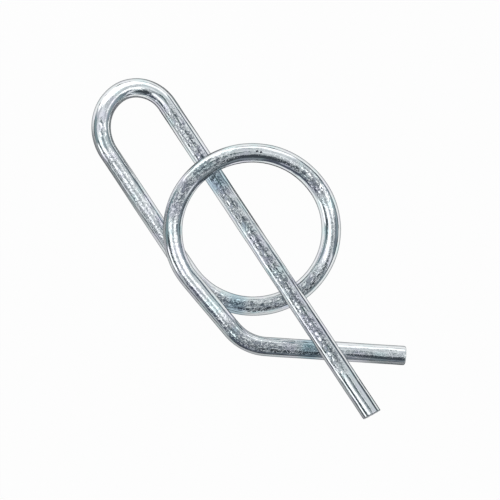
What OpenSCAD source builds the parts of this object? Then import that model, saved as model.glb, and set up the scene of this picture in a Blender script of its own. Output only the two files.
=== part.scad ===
// Locking ring cotter pin: one length of round spring wire, bent into a straight leg that goes
// through a shaft's cross hole, a U-bend, a parallel leg, one full ring that snaps round the
// shaft, and a short tail to lift the ring by.
// Millimetres. The origin is the centre of the ring. +X runs from the U-bend to the tip of the
// straight leg, +Z is up, and the clip lies on its side as it does on a bench.

/* [Wire] */
// Diameter of the wire
wire_d = 2.3; // [1.8:0.1:2.8]
// Width of the bevel that breaks the edge of each cut end
edge_break = 0.2; // [0.1:0.05:0.4]
// How far the shear leaves the tip of the straight leg off square
tip_shear = 4.6; // [0:0.2:8]

/* [Ring] */
// Bore of the ring along its long way
ring_bore_long = 16.8; // [13.5:0.1:20.5]
// Bore of the ring along its short way
ring_bore_short = 16.3; // [13.5:0.1:20.5]
// How far outside its own start the ring comes down
ring_step_out = 0.3; // [0:0.05:0.5]
// Gap between the end of the ring and its start, which it lies over
lap_gap = 0.15; // [0.1:0.05:0.4]

/* [Legs] */
// Length of the straight leg, from its U-bend to its cut end
leg_len = 44.4; // [36:0.2:54]
// How far the straight leg passes from the centre of the ring
leg_offset = 0.2; // [0:0.1:1]
// Length of the parallel leg, from the U-bend to the ring
back_leg_len = 17; // [14:0.2:22]
// Radius of the U-bend's half at the straight leg, as a share of its other half's
u_bend_ratio = 0.8; // [0.7:0.05:1.2]
// Gap between the straight leg and the ring where they cross
cross_gap = 0.65; // [0.5:0.05:1]

/* [Tail] */
// How far the ring turns on past one full turn before the tail runs out
tail_turn = 6.2; // [0:0.2:10]
// Length of straight wire between the ring and the tail's bend
tail_run = 7.8; // [6:0.2:10]
// Inner radius of the tail's bend
tail_bend_r = 4.7; // [3:0.1:7]
// Angle of the tail's bend
tail_bend_angle = 46; // [30:0.5:60]
// Length of straight wire from the tail's bend to its cut end
tail_len = 16.8; // [12:0.2:21]
// How steeply the tail dips below the plane of the ring
tail_dip = 1.0; // [0:0.1:2]

/* [Hidden] */
$fn = 96;

wire_r = wire_d / 2;

// Neighbouring stretches of wire stop just short of each other, inside a seam that joins them.
// It is so thin, and stands so little proud of the wire, that the wire reads as one.
seam_len = 0.02;
seam_rise = 0.002;

// The ring is an oval of four quarter bends. Seen from above they start at the side of the
// parallel leg, and are slack, tight, slack and tight in turn.
oval_long = (ring_bore_long + wire_d) / 2;
oval_short = (ring_bore_short + wire_d) / 2;
oval_shift = (oval_long - oval_short) / (2 - sqrt(2));
tight_r = oval_long - oval_shift;
slack_r = oval_short + oval_shift;
first_r = slack_r - ring_step_out;
ring_half = tight_r + oval_shift / sqrt(2);

// The ring climbs by one wire and the lap's gap, less what its last quarter gives back
// where it levels out into the dipping tail.
climb = asin((wire_d + lap_gap + tight_r * sin(tail_dip)) / (first_r + 3 * tight_r + 2 * slack_r));

// The straight leg passes under the ring on the U-bend's side and over it on the tip's side.
cross_span = tight_r + slack_r;
cross_rise = 2 * (wire_d + cross_gap);
climb_grade = 2 * tan(climb);
leg_slope = asin(cross_rise / (cross_span * sqrt(1 + climb_grade ^ 2))) - atan(climb_grade);

// Where the ring starts, and how far along and how high the straight leg is half way across it.
ring_start = [-oval_shift / sqrt(2), ring_step_out - ring_half, 0];
cross_mid_x = ring_start.x + first_r - cross_span / 2;
cross_mid_z = (first_r + cross_span) * sin(climb);

// The U-bend leans over, so that it joins the low end of the straight leg to the parallel leg,
// which lies level with the start of the ring. Its lean, its size and the drop between the legs
// depend on each other, so they are worked out together, a little closer each time.
leg_spacing = -leg_offset - ring_start.y;
function u_reach(lean) = u_bend_ratio * tan(45 + asin(sin(lean) * sin(leg_slope)) / 2);
function u_radius(lean) = leg_spacing / (cos(lean) * (1 + u_reach(lean)));
function u_drop(lean) =
    let (
        r = u_radius(lean),
        leg_end_x = ring_start.x - back_leg_len - r + r * u_reach(lean) * cos(leg_slope)
    )
    tan(leg_slope) * (cross_mid_x - leg_end_x) - cross_mid_z;
function closer_lean(lean) =
    asin((u_drop(lean) / u_radius(lean) + u_reach(lean) * sin(leg_slope)) / (1 + u_reach(lean)));
function settled_lean(lean, tries_left) =
    tries_left == 0 ? lean : settled_lean(closer_lean(lean), tries_left - 1);
FIRST_LEAN = 20;
LEAN_TRIES = 12;
lean = settled_lean(FIRST_LEAN, LEAN_TRIES);
u_r = u_radius(lean);

// The bending order, from the tip of the straight leg to the end of the tail. Each row is one
// step: wire fed straight, then the radius and angle of a bend to the left, and how steeply the
// wire climbs once it is bent.
STEPS = [
    [leg_len, u_bend_ratio * u_r, 90 + asin(sin(lean) * sin(leg_slope)), lean],
    [0, u_r, 90, 0],
    [back_leg_len, first_r, 90, climb],
    [0, tight_r, 90, climb],
    [0, slack_r, 90, climb],
    [0, tight_r, 90 + tail_turn, -tail_dip],
    [tail_run, tail_bend_r + wire_r, tail_bend_angle, -tail_dip],
    [tail_len, 0, 0, -tail_dip]
];
FIRST_RING_STEP = 2;

// A place on the wire is [point, turn seen from above, climb].
function heading(turn, rise) = [cos(turn) * cos(rise), sin(turn) * cos(rise), sin(rise)];
function bank(place, step) =
    asin((sin(step[3]) - sin(place[2]) * cos(step[2])) / (sin(step[2]) * cos(place[2])));
function inward(place, step) =
    let (b = bank(place, step))
    cos(b) * [-sin(place[1]), cos(place[1]), 0] + sin(b) * heading(place[1], place[2] + 90);
function fed(place, step) = [place[0] + step[0] * heading(place[1], place[2]), place[1], place[2]];
function bent(place, step) =
    step[2] == 0
    ? place
    : let (
        ahead = heading(place[1], place[2]),
        side = inward(place, step),
        out = cos(step[2]) * ahead + sin(step[2]) * side
    )
    [
        place[0] + step[1] * (sin(step[2]) * ahead + (1 - cos(step[2])) * side),
        atan2(out.y, out.x),
        asin(out.z)
    ];
function made(place, step) = bent(fed(place, step), step);
function place_after(n) = n == 0 ? [[0, 0, 0], 180, -leg_slope] : made(place_after(n - 1), STEPS[n - 1]);
PLACES = [for (n = [0 : len(STEPS)]) place_after(n)];

// The ring's own centre, and how far the clip pitches to lie on its U-bend and its ring.
ring_centre = [0, 0, (wire_d + lap_gap) / 2];
wire_shift = ring_start - fed(PLACES[FIRST_RING_STEP], STEPS[FIRST_RING_STEP])[0];
leg_foot = fed(PLACES[0], STEPS[0])[0];
ring_foot = PLACES[FIRST_RING_STEP + 1][0];
lie_pitch = atan((ring_foot.z - leg_foot.z) / (ring_foot.x - leg_foot.x));

// Draws its children at a place on the wire, with +X along the wire.
module at_place(place, roll = 0) {
    translate(place[0])
        rotate([roll, -place[2], place[1]])
            children();
}

// Straight wire from the origin along +X. It and each bend stop short of both their ends, and
// the seams there fill the gaps.
module straight_wire(length) {
    translate([seam_len / 4, 0, 0])
        rotate([0, 90, 0])
            cylinder(d = wire_d, h = length - seam_len / 2);
}

// Wire that sets off from the origin along +X and bends to the left.
module bent_wire(bend_r, angle) {
    short = asin(seam_len / 4 / bend_r);
    translate([0, bend_r, 0])
        rotate([0, 0, short - 90])
            rotate_extrude(angle = angle - 2 * short, $fn = 180)
                translate([bend_r, 0])
                    circle(d = wire_d);
}

module seam() {
    rotate([0, 90, 0])
        cylinder(r = wire_r + seam_rise, h = seam_len, center = true);
}

// Straight wire that comes along +X to a cut end at the origin. The shear leaves the cut off
// square, and the bevel follows the cut.
module cut_wire(length, shear) {
    reach = length + wire_d;
    intersection() {
        translate([-length, 0, 0])
            straight_wire(reach);
        rotate([0, 90, shear])
            translate([0, 0, -reach])
                cylinder(r1 = wire_r - edge_break + reach, r2 = wire_r - edge_break, h = reach);
    }
}

module wire_clip() {
    last = len(STEPS) - 1;
    color("silver")
        rotate([0, lie_pitch, 0])
            translate(wire_shift - ring_centre) {
                at_place(PLACES[0])
                    mirror([1, 0, 0])
                        cut_wire(leg_len, tip_shear);
                for (n = [0 : last - 1]) {
                    fed_place = fed(PLACES[n], STEPS[n]);
                    at_place(fed_place, bank(PLACES[n], STEPS[n]))
                        bent_wire(STEPS[n][1], STEPS[n][2]);
                    at_place(fed_place)
                        seam();
                    if (n > 0 && STEPS[n][0] > 0) {
                        at_place(PLACES[n])
                            straight_wire(STEPS[n][0]);
                        at_place(PLACES[n])
                            seam();
                    }
                }
                at_place(PLACES[last])
                    seam();
                at_place(PLACES[last + 1])
                    cut_wire(tail_len, 0);
            }
}

wire_clip();
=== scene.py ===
from math import asin, atan, atan2, ceil, cos, hypot, pi, radians, sin, sqrt, tan

import bpy
from mathutils import Matrix, Vector


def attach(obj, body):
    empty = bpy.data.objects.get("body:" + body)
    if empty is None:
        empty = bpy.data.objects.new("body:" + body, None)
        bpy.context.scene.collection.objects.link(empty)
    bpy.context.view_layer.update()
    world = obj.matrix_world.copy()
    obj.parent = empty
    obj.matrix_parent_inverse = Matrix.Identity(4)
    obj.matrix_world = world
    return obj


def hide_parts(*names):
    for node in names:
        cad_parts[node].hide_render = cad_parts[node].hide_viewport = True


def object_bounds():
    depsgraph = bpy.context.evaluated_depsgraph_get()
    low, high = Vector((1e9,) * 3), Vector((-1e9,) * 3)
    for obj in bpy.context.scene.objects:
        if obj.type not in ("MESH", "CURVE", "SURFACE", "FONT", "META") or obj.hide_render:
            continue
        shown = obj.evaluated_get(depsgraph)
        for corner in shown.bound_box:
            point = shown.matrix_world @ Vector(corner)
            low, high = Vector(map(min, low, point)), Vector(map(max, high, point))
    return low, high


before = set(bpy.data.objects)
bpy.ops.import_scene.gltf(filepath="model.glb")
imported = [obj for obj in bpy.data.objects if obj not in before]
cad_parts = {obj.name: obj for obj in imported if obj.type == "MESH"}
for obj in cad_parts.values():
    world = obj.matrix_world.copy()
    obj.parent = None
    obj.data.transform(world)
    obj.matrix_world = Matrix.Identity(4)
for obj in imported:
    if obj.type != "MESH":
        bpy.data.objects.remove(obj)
cad_low, cad_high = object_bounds()


# ---------------------------------------------------------------------------------------------
# The wire. One length of hard-drawn round spring wire, cropped at both ends and bent cold round
# pins: a straight leg, a U-bend, a parallel leg, one full ring and a tail. It is zinc plated
# after bending, so that the plating covers the cut ends too.
# ---------------------------------------------------------------------------------------------

# The sizes are in millimetres, and MM turns them into metres where they reach Blender.
MM = 0.001
WIRE_R = 1.15
RING_BORE_LONG = 16.8
RING_BORE_SHORT = 16.3
RING_STEP_OUT = 0.3
LAP_GAP = 0.15
LEG_LEN = 44.4
LEG_OFFSET = 0.2
BACK_LEG_LEN = 17.0
U_BEND_RATIO = 0.8
CROSS_GAP = 0.65
TAIL_TURN = radians(6.2)
TAIL_RUN = 7.8
TAIL_BEND_R = 4.7
TAIL_BEND = radians(46)
TAIL_LEN = 16.8
TAIL_DIP = radians(1.0)
TIP_SHEAR = radians(4.6)

# The ring is an oval of four quarter bends, slack and tight in turn. It climbs so that its end
# lies over its start, and the straight leg slopes to pass under its near side and over its far one.
wire_d = 2 * WIRE_R
oval_long = (RING_BORE_LONG + wire_d) / 2
oval_short = (RING_BORE_SHORT + wire_d) / 2
oval_shift = (oval_long - oval_short) / (2 - sqrt(2))
tight_r = oval_long - oval_shift
slack_r = oval_short + oval_shift
first_r = slack_r - RING_STEP_OUT
ring_half = tight_r + oval_shift / sqrt(2)
climb = asin((wire_d + LAP_GAP + tight_r * sin(TAIL_DIP)) / (first_r + 3 * tight_r + 2 * slack_r))
cross_span = tight_r + slack_r
cross_rise = 2 * (wire_d + CROSS_GAP)
climb_grade = 2 * tan(climb)
leg_slope = asin(cross_rise / (cross_span * hypot(1, climb_grade))) - atan(climb_grade)
ring_start = Vector((-oval_shift / sqrt(2), RING_STEP_OUT - ring_half, 0))
cross_mid_x = ring_start.x + first_r - cross_span / 2
cross_mid_z = (first_r + cross_span) * sin(climb)
leg_spacing = -LEG_OFFSET - ring_start.y


def u_bend(lean):
    """The U-bend's reach beside the straight leg, as a share of its radius, and that radius."""
    reach = U_BEND_RATIO * tan(pi / 4 + asin(sin(lean) * sin(leg_slope)) / 2)
    return reach, leg_spacing / (cos(lean) * (1 + reach))


# The U-bend's lean and its size depend on each other, so they are settled together.
FIRST_LEAN = radians(20)
LEAN_TRIES = 12
lean = FIRST_LEAN
for _ in range(LEAN_TRIES):
    reach, u_r = u_bend(lean)
    leg_end_x = ring_start.x - BACK_LEG_LEN - u_r + u_r * reach * cos(leg_slope)
    drop = tan(leg_slope) * (cross_mid_x - leg_end_x) - cross_mid_z
    lean = asin((drop / u_r + reach * sin(leg_slope)) / (1 + reach))
u_r = u_bend(lean)[1]

# The bending order, from the tip of the straight leg: wire fed straight, then the radius and
# angle of a bend to the left, and how steeply the wire climbs once it is bent.
QUARTER = pi / 2
BENDING_ORDER = [
    (LEG_LEN, U_BEND_RATIO * u_r, QUARTER + asin(sin(lean) * sin(leg_slope)), lean),
    (0, u_r, QUARTER, 0),
    (BACK_LEG_LEN, first_r, QUARTER, climb),
    (0, tight_r, QUARTER, climb),
    (0, slack_r, QUARTER, climb),
    (0, tight_r, QUARTER + TAIL_TURN, -TAIL_DIP),
    (TAIL_RUN, TAIL_BEND_R + WIRE_R, TAIL_BEND, -TAIL_DIP),
    (TAIL_LEN, 0, 0, -TAIL_DIP),
]
RING_STEP = 2

# A row is a point on the middle of the wire, and the way that the wire runs there.
ROW_GAP = 0.14


def heading(turn, rise):
    return Vector((cos(turn) * cos(rise), sin(turn) * cos(rise), sin(rise)))


def straight_rows(start, ahead, length):
    """The rows of a straight stretch, after its start."""
    count = ceil(length / ROW_GAP)
    return [(start + ahead * length * n / count, ahead) for n in range(1, count + 1)]


def bent_rows(start, ahead, side, bend_r, angle):
    """The rows of a bend that sets off ahead and is pulled to the side, after its start."""
    count = ceil(bend_r * angle / ROW_GAP)
    turned = [angle * n / count for n in range(1, count + 1)]
    return [
        (
            start + bend_r * (sin(a) * ahead + (1 - cos(a)) * side),
            cos(a) * ahead + sin(a) * side,
        )
        for a in turned
    ]


rows = [(Vector((0, 0, 0)), heading(pi, -leg_slope))]
step_starts = []
step_bends = []
for length, bend_r, angle, rise_after in BENDING_ORDER:
    step_starts.append(len(rows) - 1)
    rows += straight_rows(*rows[-1], length) if length else []
    step_bends.append(len(rows) - 1)
    if angle:
        start, ahead = rows[-1]
        turn = atan2(ahead.y, ahead.x)
        rise = asin(ahead.z)
        bank = asin((sin(rise_after) - sin(rise) * cos(angle)) / (sin(angle) * cos(rise)))
        level = Vector((-sin(turn), cos(turn), 0))
        side = cos(bank) * level + sin(bank) * heading(turn, rise + QUARTER)
        rows += bent_rows(start, ahead, side, bend_r, angle)

# The clip's origin is the middle of the ring, and it pitches to lie on its U-bend and its ring.
to_origin = ring_start - rows[step_bends[RING_STEP]][0] - Vector((0, 0, (wire_d + LAP_GAP) / 2))
foot_span = rows[step_starts[RING_STEP + 1]][0] - rows[step_bends[0]][0]
lie_flat = Matrix.Rotation(atan2(foot_span.z, foot_span.x), 3, "Y")
rows = [(lie_flat @ (point + to_origin), lie_flat @ ahead) for point, ahead in rows]

# Each cut end is rounded over its edge, and closes in rings across its face, which is very
# slightly domed. From here on, a row is a point and the wire's radius there.
TIP_ROUND, TAIL_ROUND = 0.08, 0.2
EDGE_ROWS = 6
FACE_ROWS = 12
FACE_DOME = 0.03
CENTRE_R = 0.01


def closing_rows(end, outward, edge_round):
    """Rows that close a cut end, from the full wire to the centre of its face."""
    turned = [QUARTER * n / EDGE_ROWS for n in range(EDGE_ROWS + 1)]
    over_edge = [
        (edge_round * (1 - sin(a)) + FACE_DOME, WIRE_R - edge_round * (1 - cos(a)))
        for a in turned
    ]
    face_r = WIRE_R - edge_round
    shares = [n / FACE_ROWS for n in range(1, FACE_ROWS + 1)]
    over_face = [
        (FACE_DOME * (1 - share), face_r * (1 - share) + CENTRE_R * share)
        for share in shares
    ]
    return [(end - outward * setback, wire_r) for setback, wire_r in over_edge + over_face]


# The closing rows stand in for the last few rows at either end.
trimmed = ceil(2 * TAIL_ROUND / ROW_GAP)
tip, tip_ahead = rows[0]
tail, tail_ahead = rows[-1]
swept = closing_rows(tip, -tip_ahead, TIP_ROUND)[::-1]
swept += [(point, WIRE_R) for point, _ in rows[trimmed:-trimmed]]
swept += closing_rows(tail, tail_ahead, TAIL_ROUND)
along = [0.0]
for (before, _), (after, _) in zip(swept, swept[1:]):
    along.append(along[-1] + (after - before).length)

# The wire is rubbed smooth where it is bent round a pin, slid through a hole or handled: the tip of
# the straight leg, the U-bend, the parallel leg, two places on the ring, the lap and the tail. Each
# is a place along the wire, how far the rubbing reaches either side of it, and how smooth it is
# there, from 0 to 1.
u_bend_len = QUARTER * (1 + U_BEND_RATIO) * u_r
ring_from = LEG_LEN + u_bend_len + BACK_LEG_LEN
RUBBED = [
    (0, 5, 1.0),
    (LEG_LEN + u_bend_len / 2, 7, 1.0),
    (ring_from - BACK_LEG_LEN / 2, 7, 0.7),
    (ring_from + 24, 3, 1.0),
    (ring_from + 38, 3, 1.0),
    (ring_from + 59, 6, 0.9),
    (ring_from + 78, 3, 0.5),
    (along[-1], 8, 0.9),
]
RUB_FADE = 3


def rubbed(place):
    """How smooth the wire is rubbed at a place along it, from 0 to 1."""
    return max(
        share * min(1, max(0, (reach - abs(place - centre)) / RUB_FADE + 1))
        for centre, reach, share in RUBBED
    )


wire_line = bpy.data.meshes.new("wire_line")
row_links = [(n, n + 1) for n in range(len(swept) - 1)]
wire_line.from_pydata([point * MM for point, _ in swept], row_links, [])
row_values = {
    "along": along,
    "girth": [wire_r / WIRE_R for _, wire_r in swept],
    "rubbed": [rubbed(place) for place in along],
}
for name, values in row_values.items():
    wire_line.attributes.new(name, "FLOAT", "POINT").data.foreach_set("value", values)


def node(tree, kind, inputs=(), **settings):
    """Adds a node. Each input is a value to set or a socket to join, by its name or its number."""
    made = tree.nodes.new(kind)
    for name, value in settings.items():
        setattr(made, name, value)
    for name, value in dict(inputs).items():
        if isinstance(value, bpy.types.NodeSocket):
            tree.links.new(value, made.inputs[name])
        else:
            made.inputs[name].default_value = value
    return made


def maths(tree, operation, *values):
    return node(tree, "ShaderNodeMath", enumerate(values), operation=operation).outputs[0]


def vectors(tree, operation, *values):
    """Vector maths. Two vectors come out as one, or as a number where they are measured."""
    made = node(tree, "ShaderNodeVectorMath", enumerate(values), operation=operation)
    return made.outputs["Value" if operation in ("DOT_PRODUCT", "DISTANCE") else "Vector"]


def scaled(tree, vector, scale):
    inputs = {0: vector, "Scale": scale}
    return node(tree, "ShaderNodeVectorMath", inputs, operation="SCALE").outputs["Vector"]


def eased(tree, value, low, high, to_low=0.0, to_high=1.0):
    """A value that eases from one level to another between two ends."""
    inputs = enumerate((value, low, high, to_low, to_high))
    return node(tree, "ShaderNodeMapRange", inputs, interpolation_type="SMOOTHSTEP").outputs[0]


def noise(tree, place, scale, detail=2.0, distortion=0.0):
    inputs = {"Vector": place, "Scale": scale, "Detail": detail, "Distortion": distortion}
    return node(tree, "ShaderNodeTexNoise", inputs).outputs["Fac"]


def sockets(tree, inputs, outputs):
    """Names a tree's inputs and outputs, and gives the sockets inside it that they join."""
    for name, kind in inputs.items():
        tree.interface.new_socket(name, in_out="INPUT", socket_type="NodeSocket" + kind)
    for name, kind in outputs.items():
        tree.interface.new_socket(name, in_out="OUTPUT", socket_type="NodeSocket" + kind)
    return tree.nodes.new("NodeGroupInput").outputs, tree.nodes.new("NodeGroupOutput").inputs


# The sweep carries a round section along the rows. It stores where each point lay on the wire
# before it was bent, in millimetres, so that every pattern follows the wire, and which way the
# wire faces there. Then it waves the wire a little, and its tip gets the lean and the torn burr
# that the shear left.
sweep = bpy.data.node_groups.new("swept_wire", "GeometryNodeTree")
given, result = sockets(
    sweep,
    {
        "Line": "Geometry",
        "Radius": "Float",
        "Sides": "Int",
        "Waviness": "Float",
        "Burr": "Float",
        "Tip": "Vector",
        "Tip Outward": "Vector",
        "Tip Lean": "Vector",
        "Finish": "Material",
        "Cut Finish": "Material",
    },
    {"Wire": "Geometry"},
)


def attribute(name, kind="FLOAT"):
    named = node(sweep, "GeometryNodeInputNamedAttribute", {"Name": name}, data_type=kind)
    return named.outputs["Attribute"]


def stored(geometry, name, value):
    inputs = {"Geometry": geometry, "Name": name, "Value": value}
    return node(sweep, "GeometryNodeStoreNamedAttribute", inputs, data_type="FLOAT_VECTOR").outputs[0]


def moved(geometry, offset):
    return node(sweep, "GeometryNodeSetPosition", {"Geometry": geometry, "Offset": offset}).outputs[0]


position = node(sweep, "GeometryNodeInputPosition").outputs[0]
outward = node(sweep, "GeometryNodeInputNormal").outputs[0]
unit_circle = {"Resolution": given["Sides"], "Radius": 1.0}
circle = node(sweep, "GeometryNodeCurvePrimitiveCircle", unit_circle).outputs[0]
section = stored(circle, "across", position)
path = node(sweep, "GeometryNodeMeshToCurve", {"Mesh": given["Line"]}).outputs[0]
section_r = maths(sweep, "MULTIPLY", attribute("girth"), given["Radius"])
wire = node(
    sweep,
    "GeometryNodeCurveToMesh",
    {"Curve": path, "Profile Curve": section, "Scale": section_r, "Fill Caps": True},
).outputs[0]

across = scaled(sweep, attribute("across", "FLOAT_VECTOR"), maths(sweep, "DIVIDE", section_r, MM))
across_xy = node(sweep, "ShaderNodeSeparateXYZ", {0: across}).outputs
drawn_xyz = {0: attribute("along"), 1: across_xy[0], 2: across_xy[1]}
drawn = node(sweep, "ShaderNodeCombineXYZ", drawn_xyz).outputs[0]
wire = stored(wire, "drawn", drawn)
wire = stored(wire, "skyward", outward)

WAVE_STRETCH = (0.35, 1.0, 1.0)
WAVE_SCALE = 0.9
NOISE_MIDDLE = 0.5
stretched = vectors(sweep, "MULTIPLY", attribute("drawn", "FLOAT_VECTOR"), WAVE_STRETCH)
waves = maths(sweep, "SUBTRACT", noise(sweep, stretched, WAVE_SCALE), NOISE_MIDDLE)
wire = moved(wire, scaled(sweep, outward, maths(sweep, "MULTIPLY", waves, given["Waviness"])))

SHEAR_FADE = 1.5
SHEAR_FULL = 2 * TIP_ROUND
TEAR_SCALE = 1.6
from_tip = vectors(sweep, "SUBTRACT", position, given["Tip"])
sheared = vectors(sweep, "DOT_PRODUCT", from_tip, given["Tip Lean"])
near_tip = eased(sweep, attribute("along"), SHEAR_FADE, SHEAR_FULL)
torn = maths(sweep, "MULTIPLY", noise(sweep, across, TEAR_SCALE), given["Burr"])
drawn_out = maths(sweep, "MULTIPLY", maths(sweep, "ADD", sheared, torn), near_tip)
wire = moved(wire, scaled(sweep, given["Tip Outward"], drawn_out))

FACE_GIRTH = (WIRE_R - TIP_ROUND) / WIRE_R
wire = node(sweep, "GeometryNodeSetShadeSmooth", {"Geometry": wire}).outputs[0]
wire = node(sweep, "GeometryNodeRealizeInstances", {"Geometry": wire}).outputs[0]
wire = node(sweep, "GeometryNodeSetMaterial", {"Geometry": wire, "Material": given["Finish"]}).outputs[0]
on_face = maths(sweep, "LESS_THAN", attribute("girth"), FACE_GIRTH)
wire = node(
    sweep,
    "GeometryNodeSetMaterial",
    {"Geometry": wire, "Selection": on_face, "Material": given["Cut Finish"]},
).outputs[0]
sweep.links.new(wire, result["Wire"])

# Drawing marks: the die leaves the wire's skin full of fine pits and short furrows that run along
# it, and the plating keeps them.
PIT_STRETCH = (0.75, 1.0, 1.0)
PIT_DETAIL = 1.8
PIT_TWIST = 1.2
PIT_EDGE = 0.44, 0.57
FURROW_STRETCH = (0.12, 2.0, 2.0)
marks = bpy.data.node_groups.new("drawing_marks", "ShaderNodeTree")
given, result = sockets(
    marks,
    {"Place": "Vector", "Fineness": "Float"},
    {"Pits": "Float", "Furrows": "Float"},
)
pit_place = vectors(marks, "MULTIPLY", given["Place"], PIT_STRETCH)
pits = eased(marks, noise(marks, pit_place, given["Fineness"], PIT_DETAIL, PIT_TWIST), *PIT_EDGE)
marks.links.new(pits, result["Pits"])
furrow_place = vectors(marks, "MULTIPLY", given["Place"], FURROW_STRETCH)
marks.links.new(noise(marks, furrow_place, given["Fineness"]), result["Furrows"])


def mixed(tree, factor, first, second, blend="MIX"):
    inputs = {0: factor, 6: first, 7: second}
    return node(tree, "ShaderNodeMix", inputs, data_type="RGBA", blend_type=blend).outputs[2]


# Passivation: the thin clear film over the zinc is bluish, and turns lilac or greenish in patches.
ZINC = (0.87, 0.90, 0.91, 1)
ZINC_LILAC = (0.86, 0.86, 0.93, 1)
ZINC_GREEN = (0.79, 0.90, 0.91, 1)
LILAC_EDGE = 0.5, 0.7
GREEN_EDGE = 0.48, 0.3
film = bpy.data.node_groups.new("passivation_film", "ShaderNodeTree")
given, result = sockets(film, {"Place": "Vector", "Patch": "Float"}, {"Colour": "Color"})
patches = noise(film, given["Place"], given["Patch"])
lilac = mixed(film, eased(film, patches, *LILAC_EDGE), ZINC, ZINC_LILAC)
film.links.new(mixed(film, eased(film, patches, *GREEN_EDGE), lilac, ZINC_GREEN), result["Colour"])


def grouped(tree, group, **inputs):
    """Places a node group in a material, with its own values."""
    named = {name.replace("_", " ").title(): value for name, value in inputs.items()}
    return node(tree, "ShaderNodeGroup", named, node_tree=group).outputs


def new_material(name):
    """A material with a bare Principled shader, and that shader."""
    material = bpy.data.materials.new(name)
    material.use_nodes = True
    return material, material.node_tree, material.node_tree.nodes["Principled BSDF"]


def mesh_value(tree, name, output):
    return node(tree, "ShaderNodeAttribute", attribute_name=name).outputs[output]


def bump(tree, depth, height, under=None, sunk=False):
    """A bump of so much height, over another if there is one, and inwards if it is sunk."""
    inputs = {"Distance": depth, "Height": height}
    if under is not None:
        inputs["Normal"] = under
    return node(tree, "ShaderNodeBump", inputs, invert=sunk).outputs[0]


SPOT_CORE = 1 / 3


def marked(tree, spots):
    """A mask that is 1 at the middle of each spot and 0 outside it."""
    on_clip = scaled(tree, node(tree, "ShaderNodeTexCoord").outputs["Object"], 1 / MM)
    mask = 0.0
    for centre, spot_r in spots:
        apart = vectors(tree, "DISTANCE", on_clip, centre)
        mask = maths(tree, "MAXIMUM", mask, eased(tree, apart, spot_r, spot_r * SPOT_CORE))
    return mask


# The plated wire. Its pits show where it faces up, apart from where rubbing has worn them almost
# away, and its furrows show all round.
PIT_FINENESS = 2.8
FILM_PATCH = 0.45
PIT_SHADE = (0.36, 0.38, 0.42, 1)
PIT_DEPTH = 0.075 * MM
PIT_SIDE = 0.80, 0.94
WORN_PITS = 0.05
FURROW_DEPTH = 0.010 * MM
SMOOTH, PITTED = 0.07, 0.16
RIM_SHADE_TINT = (0.12, 0.13, 0.14, 1)
bright_zinc, tree, shader = new_material("bright_zinc")
drawn_place = mesh_value(tree, "drawn", "Vector")
skin = grouped(tree, marks, place=drawn_place, fineness=PIT_FINENESS)
unrubbed = maths(tree, "SUBTRACT", 1.0, mesh_value(tree, "rubbed", "Fac"))
left_rough = eased(tree, unrubbed, 0.0, 1.0, WORN_PITS, 1.0)
skyward = node(tree, "ShaderNodeSeparateXYZ", {0: mesh_value(tree, "skyward", "Vector")}).outputs[2]
open_side = maths(tree, "MULTIPLY", eased(tree, skyward, *PIT_SIDE), left_rough)
pitting = maths(tree, "MULTIPLY", skin["Pits"], open_side)
tree.links.new(eased(tree, pitting, 0.0, 1.0, SMOOTH, PITTED), shader.inputs["Roughness"])
bare_film = grouped(tree, film, place=drawn_place, patch=FILM_PATCH)["Colour"]
# The pits are real, and their darker colour is painted shade in their hollows, put only where the wire
# faces up.
pit_shaded_film = mixed(tree, pitting, bare_film, PIT_SHADE, "MULTIPLY")
furrowed = bump(tree, FURROW_DEPTH, skin["Furrows"])
pitted = bump(tree, PIT_DEPTH, pitting, under=furrowed, sunk=True)

# Where two stretches of wire almost touch, the colour is darkened to a teal blue: painted shade
# between the crossing wires. Each is a place along the wire.
SHADED_CROSSINGS = [33.2, ring_from + 7.5, ring_from + 77.8]
CROSSING_SHADE_REACH = 2.0, 0.3
CROSSING_SHADE_TINT = (0.66, 0.79, 0.85, 1)
along_wire = node(tree, "ShaderNodeSeparateXYZ", {0: drawn_place}).outputs[0]
crossing_shade_mask = 0.0
for crossing_at in SHADED_CROSSINGS:
    apart = maths(tree, "ABSOLUTE", maths(tree, "SUBTRACT", along_wire, crossing_at))
    crossing_shade_mask = maths(tree, "MAXIMUM", crossing_shade_mask, eased(tree, apart, *CROSSING_SHADE_REACH))
crossing_shaded_film = mixed(tree, crossing_shade_mask, pit_shaded_film, CROSSING_SHADE_TINT, "MULTIPLY")

# Knocks from the bench and the bin: two deep pits on the ring, and a scuff on the U-bend, where
# the skin is dragged over in flecks that lean one way. Each spot is its middle and its radius.
PITS = [((-7.68, 5.65, 2.63), 0.19), ((-7.34, 5.97, 2.58), 0.19)]
SCUFFS = [
    ((-20.55, -8.02, 1.95), 0.55),
    ((-20.1, -8.22, 2.0), 0.70),
    ((-19.6, -8.45, 2.0), 0.55),
]
KNOCK_SHADE = (0.12, 0.12, 0.14, 1)
KNOCK_DEPTH = 0.08 * MM
SCUFF_STRETCH = (0.8, 1.6, 1.6)
SCUFF_FINENESS = 2.4
SCUFF_DETAIL = 1.0
SCUFF_TWIST = 1.0
SCUFF_EDGE = 0.38, 0.62
SCUFF_LEAN = (0.08, -0.30, 0.0)
knocked = marked(tree, PITS)
dented = bump(tree, KNOCK_DEPTH, knocked, under=pitted, sunk=True)
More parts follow.
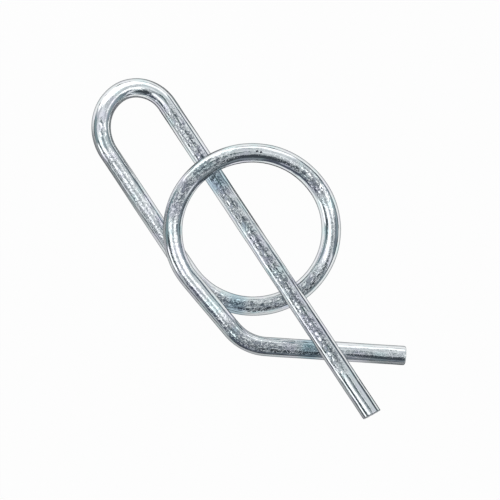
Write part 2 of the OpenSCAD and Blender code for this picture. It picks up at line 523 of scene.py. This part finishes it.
# The two dents are real, and their dark centres are painted shade in their hollows.
knock_shaded_film = mixed(tree, knocked, crossing_shaded_film, KNOCK_SHADE, "MULTIPLY")
tree.links.new(knock_shaded_film, shader.inputs["Base Color"])
scuff_place = vectors(tree, "MULTIPLY", drawn_place, SCUFF_STRETCH)
scuff_grain = noise(tree, scuff_place, SCUFF_FINENESS, SCUFF_DETAIL, SCUFF_TWIST)
scuffed = maths(tree, "MULTIPLY", marked(tree, SCUFFS), eased(tree, scuff_grain, *SCUFF_EDGE))
leaning = vectors(tree, "ADD", dented, scaled(tree, SCUFF_LEAN, scuffed))
tree.links.new(vectors(tree, "NORMALIZE", leaning), shader.inputs["Normal"])
shader.inputs["Metallic"].default_value = 1.0
# The edge tint is very dark, so the rims mirror darker than bare zinc: painted shade along the wire's
# edges, for the shaded paper beside it.
shader.inputs["Specular Tint"].default_value = RIM_SHADE_TINT

# The cut ends are torn rather than drawn, so they are coarser and duller under the same plating.
CUT_FINENESS = 7.0
CUT_PATCH = 1.2
CUT_DEPTH = 0.02 * MM
CUT_ROUGHNESS = 0.38
cut_zinc, tree, shader = new_material("cut_zinc")
cut_place = mesh_value(tree, "drawn", "Vector")
grain = grouped(tree, marks, place=cut_place, fineness=CUT_FINENESS)["Pits"]
cut_film = grouped(tree, film, place=cut_place, patch=CUT_PATCH)["Colour"]
# The torn grain is darkened with the same painted shade as the pits.
tree.links.new(mixed(tree, grain, cut_film, PIT_SHADE, "MULTIPLY"), shader.inputs["Base Color"])
tree.links.new(bump(tree, CUT_DEPTH, grain, sunk=True), shader.inputs["Normal"])
shader.inputs["Metallic"].default_value = 1.0
shader.inputs["Roughness"].default_value = CUT_ROUGHNESS

# The sweep runs once on the rows, and its result is the piece's own mesh.
SIDES = 72
WAVINESS = 0.055
BURR = 0.22
wire_piece = bpy.data.objects.new("zinc_wire_clip", wire_line)
bpy.context.scene.collection.objects.link(wire_piece)
modifier = wire_piece.modifiers.new("sweep", "NODES")
modifier.node_group = sweep
cut_lean = tan(TIP_SHEAR) * Vector((tip_ahead.y, -tip_ahead.x, 0)).normalized()
sweep_inputs = {
    "Radius": WIRE_R * MM,
    "Sides": SIDES,
    "Waviness": WAVINESS * MM,
    "Burr": BURR * MM,
    "Tip": tip * MM,
    "Tip Outward": -tip_ahead,
    "Tip Lean": cut_lean,
    "Finish": bright_zinc,
    "Cut Finish": cut_zinc,
}
for socket in sweep.interface.items_tree:
    if socket.name in sweep_inputs:
        modifier[socket.identifier] = sweep_inputs[socket.name]
evaluated = wire_piece.evaluated_get(bpy.context.evaluated_depsgraph_get())
wire_mesh = bpy.data.meshes.new_from_object(evaluated)
wire_piece.modifiers.remove(modifier)
wire_piece.data = wire_mesh
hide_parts("wire_clip")
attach(wire_piece, "root")


# ---------------------------------------------------------------------------------------------
# The camera. It looks straight down on the clip as it lies on its side, from far enough off that
# heights hardly show, and is turned so that the straight leg runs down to the right.
# ---------------------------------------------------------------------------------------------

VIEW_TURN = radians(56.55)
VIEW_CENTRE = Vector((1.584, -1.503, 0)) * MM
VIEW_ACROSS = 59.6 * MM
VIEW_HEIGHT = 450 * MM
lens = bpy.data.cameras.new("camera")
lens.lens = lens.sensor_width * VIEW_HEIGHT / VIEW_ACROSS
camera = bpy.data.objects.new("camera", lens)
camera.location = VIEW_CENTRE + Vector((0, 0, VIEW_HEIGHT))
camera.rotation_euler = (0, 0, VIEW_TURN)
bpy.context.scene.collection.objects.link(camera)
bpy.context.scene.camera = camera
bpy.context.scene.view_settings.view_transform = "Standard"


# ---------------------------------------------------------------------------------------------
# The table. A sheet of white paper lies on a dark bench, and reaches past the picture on every
# side, furthest beyond the U-bend. The wire mirrors the bench beyond the paper as a dark line, and
# the paper with painted light and shade on it: lighter towards its back, and painted shadows in round
# places.
# ---------------------------------------------------------------------------------------------

BENCH_HALF, BENCH_DROP = 3.0, 0.1 * MM
SHEET_HALF = 46 * MM
SHEET_AT = Vector((-14, 14, 0)) * MM
CAMERA_SEES = 0.975

# A surface is its finish, its colour, and how white its front and its back look in the wire: the ends of
# a painted gradient of light.
SHEET = ("paper", (0.5, 0.5, 0.5, 1), (0.05, 1.0))
BENCH = ("bench_top", (0.05, 0.055, 0.06, 1), (0.0, 0.0))
# The painted light grows towards the paper's back, between these two distances.
PAINTED_LIGHT_TOWARDS = heading(radians(70), 0)
PAINTED_LIGHT_FROM, PAINTED_LIGHT_TO = -32 * MM, 4 * MM

# Each shade is a painted shadow that only the wire shows: a round place on the table, as the camera is
# turned, and its radius.
SHADES = [
    ((-9.5, 17.5, 0), 7),
    ((19.0, -18.5, 0), 7),
    ((-28.0, 4.0, 0), 15),
    ((2.5, 8.5, 0), 6.5),
]
SHADE_CORE = 1 / 2


def rectangle(half_wide, half_high):
    return [
        (-half_wide, -half_high),
        (half_wide, -half_high),
        (half_wide, half_high),
        (-half_wide, half_high),
    ]


def panel(name, corners):
    """A flat object with four corners."""
    mesh = bpy.data.meshes.new(name)
    mesh.from_pydata(corners, [], [(0, 1, 2, 3)])
    made = bpy.data.objects.new(name, mesh)
    bpy.context.scene.collection.objects.link(made)
    return made


def tabletop(name, middle, half, level, surface):
    """A flat square turned with the camera, which the camera sees as white, and the wire mirrors with
    painted light and shade.
    """
    finish, colour, (painted_front, painted_back) = surface
    top = panel(name, [middle + Vector((x, y, 0)) for x, y in rectangle(half, half)])
    top.location = (VIEW_CENTRE.x, VIEW_CENTRE.y, level)
    top.rotation_euler = (0, 0, VIEW_TURN)
    material, tree, shader = new_material(finish)
    shader.inputs["Base Color"].default_value = colour
    shader.inputs["Roughness"].default_value = 1.0
    shader.inputs["Specular IOR Level"].default_value = 0.0
    white = node(tree, "ShaderNodeEmission", {"Strength": 1.0}).outputs[0]
    rays = node(tree, "ShaderNodeLightPath").outputs
    mirrored = maths(tree, "MAXIMUM", rays["Is Glossy Ray"], rays["Is Transmission Ray"])
    seen = maths(tree, "MULTIPLY", rays["Is Camera Ray"], CAMERA_SEES)
    on_top = node(tree, "ShaderNodeTexCoord").outputs["Object"]
    backward = vectors(tree, "DOT_PRODUCT", on_top, PAINTED_LIGHT_TOWARDS)
    # Painted light and shade for the wire's reflections: a gradient towards the back, darkened by the
    # painted shadows.
    lit = eased(tree, backward, PAINTED_LIGHT_FROM, PAINTED_LIGHT_TO, painted_front, painted_back)
    for centre, shade_r in SHADES:
        apart = vectors(tree, "DISTANCE", scaled(tree, on_top, 1 / MM), centre)
        lit = maths(tree, "MULTIPLY", lit, eased(tree, apart, shade_r * SHADE_CORE, shade_r))
    share = maths(tree, "MULTIPLY_ADD", mirrored, lit, seen)
    mix = node(tree, "ShaderNodeMixShader", {0: share, 1: shader.outputs[0], 2: white}).outputs[0]
    tree.links.new(mix, tree.nodes["Material Output"].inputs["Surface"])
    top.data.materials.append(material)


tabletop("sheet", SHEET_AT, SHEET_HALF, cad_low[2], SHEET)
tabletop("bench", Vector((0, 0, 0)), BENCH_HALF, cad_low[2] - BENCH_DROP, BENCH)


# ---------------------------------------------------------------------------------------------
# The softbox. A small panel of lit cloth that stands close beyond the U-bend, out of the picture.
# The wire mirrors it, and the camera doesn't see it from any side.
# ---------------------------------------------------------------------------------------------

SOFTBOX_CENTRE = Vector((-16.5, 34, 11)) * MM
SOFTBOX_HALF = 12 * MM, 10 * MM
SOFTBOX_LIGHT = 1.5
picture_to_world = Matrix.Rotation(VIEW_TURN, 3, "Z")
softbox_corners = [SOFTBOX_CENTRE + Vector((x, 0, z)) for x, z in rectangle(*SOFTBOX_HALF)]
softbox = panel("softbox", [picture_to_world @ corner for corner in softbox_corners])
softbox.visible_camera = False
softbox_cloth, tree, shader = new_material("softbox_cloth")
shader.inputs["Base Color"].default_value = (0, 0, 0, 1)
shader.inputs["Emission Color"].default_value = (1, 1, 1, 1)
shader.inputs["Emission Strength"].default_value = SOFTBOX_LIGHT
softbox.data.materials.append(softbox_cloth)


# ---------------------------------------------------------------------------------------------
# The studio. A pale tent of cloth all round the table, hung with light and dark cards that give
# the wire its bright and dark bands. The camera sees the tent as white.
# ---------------------------------------------------------------------------------------------

# Each card: how far round from the camera's right-hand side it hangs and how wide it is, how high
# its lower and upper edges are and how soft its edges look, all in degrees, and its colour.
CARDS = [
    ("light wall", 76, 72, 0, 46, 3, (0.74, 0.76, 0.78)),
    ("bright low wall", 78, 60, 8, 33, 3, (1.30, 1.32, 1.33)),
    ("back seam", 84, 40, 31, 37, 2, (0.26, 0.30, 0.31)),
    ("high right ring", 62, 90, 58, 72, 3, (0.87, 0.90, 0.92)),
    ("pale back card", 107, 22, 12, 42, 3, (0.40, 0.45, 0.48)),
    ("high back card", 115, 44, 46, 60, 3, (0.87, 0.89, 0.90)),
    ("white back strip", 131, 22, 0, 28, 3, (1.38, 1.38, 1.38)),
    ("left wall", 174, 44, 0, 36, 4, (0.22, 0.29, 0.31)),
    ("high left wall", 175, 60, 42, 76, 4, (0.81, 0.85, 0.86)),
    ("left strip", 209, 20, 5, 25, 3, (1.35, 1.36, 1.37)),
    ("dark left foot", 212, 28, 0, 5, 3, (0.10, 0.13, 0.15)),
    ("high left panel", 228, 92, 52, 77, 3, (1.33, 1.35, 1.38)),
    ("left seam", 208, 34, 26, 47, 3, (0.05, 0.07, 0.08)),
    ("front wall", 290, 54, 0, 66, 4, (0.19, 0.22, 0.24)),
    ("dark front card", 252, 42, 0, 52, 4, (0.08, 0.09, 0.12)),
    ("front strip", 263, 6, 20, 48, 2, (0.41, 0.44, 0.48)),
    ("dark high front card", 290, 42, 28, 66, 4, (0.05, 0.06, 0.07)),
    ("right wall", 336, 42, 0, 44, 4, (0.17, 0.20, 0.23)),
    ("right strip", 325, 12, 14, 42, 3, (0.78, 0.80, 0.83)),
    ("high right panel", 350, 36, 50, 68, 3, (1.38, 1.38, 1.38)),
    ("bright right panel", 5, 26, 35, 62, 3, (1.47, 1.47, 1.47)),
    ("low right card", 5, 44, 0, 24, 4, (0.26, 0.32, 0.35)),
    ("right card", 36, 18, 15, 46, 4, (0.64, 0.68, 0.70)),
    ("dark right foot", 37, 22, 0, 13, 3, (0.11, 0.14, 0.17)),
    ("over the leg", 84, 70, 66, 80, 4, (0.05, 0.09, 0.09)),
    ("camera side", 25, 150, 77, 95, 4, (0.22, 0.25, 0.28)),
    ("far camera side", 205, 150, 80, 95, 4, (0.41, 0.45, 0.48)),
]
TENT = (0.52, 0.55, 0.57, 1)
ZENITH = 90
ABOVE_ZENITH = 2.0

card = bpy.data.node_groups.new("tent_card", "ShaderNodeTree")
given, result = sockets(
    card,
    {
        "Look": "Vector",
        "Facing": "Vector",
        "Past Side": "Float",
        "Inside Side": "Float",
        "Below": "Float",
        "Bottom": "Float",
        "Top": "Float",
        "Above": "Float",
    },
    {"Share": "Float"},
)
level_look = vectors(card, "NORMALIZE", vectors(card, "MULTIPLY", given["Look"], (1, 1, 0)))
facing = vectors(card, "DOT_PRODUCT", level_look, given["Facing"])
height = node(card, "ShaderNodeSeparateXYZ", {0: given["Look"]}).outputs[2]
between_sides = eased(card, facing, given["Past Side"], given["Inside Side"])
over_bottom = eased(card, height, given["Below"], given["Bottom"])
under_top = eased(card, height, given["Above"], given["Top"])
inside = maths(card, "MULTIPLY", between_sides, maths(card, "MULTIPLY", over_bottom, under_top))
card.links.new(inside, result["Share"])

world = bpy.data.worlds.new("tent")
bpy.context.scene.world = world
world.use_nodes = True
tree = world.node_tree
look = node(tree, "ShaderNodeTexCoord").outputs["Generated"]
tent = TENT
for _, turn, width, bottom, top, soft, colour in CARDS:
    blur = soft / 2
    share = grouped(
        tree,
        card,
        look=look,
        facing=heading(VIEW_TURN + radians(turn), 0),
        past_side=cos(radians(width / 2 + blur)),
        inside_side=cos(radians(width / 2 - blur)),
        below=sin(radians(bottom - blur)),
        bottom=sin(radians(bottom + blur)),
        top=sin(radians(min(top - blur, ZENITH))),
        above=ABOVE_ZENITH if top + blur >= ZENITH else sin(radians(top + blur)),
    )["Share"]
    tent = mixed(tree, share, tent, (*colour, 1))
rays = node(tree, "ShaderNodeLightPath").outputs
seen = mixed(tree, rays["Is Camera Ray"], tent, (1, 1, 1, 1))
tree.links.new(seen, tree.nodes["Background"].inputs["Color"])
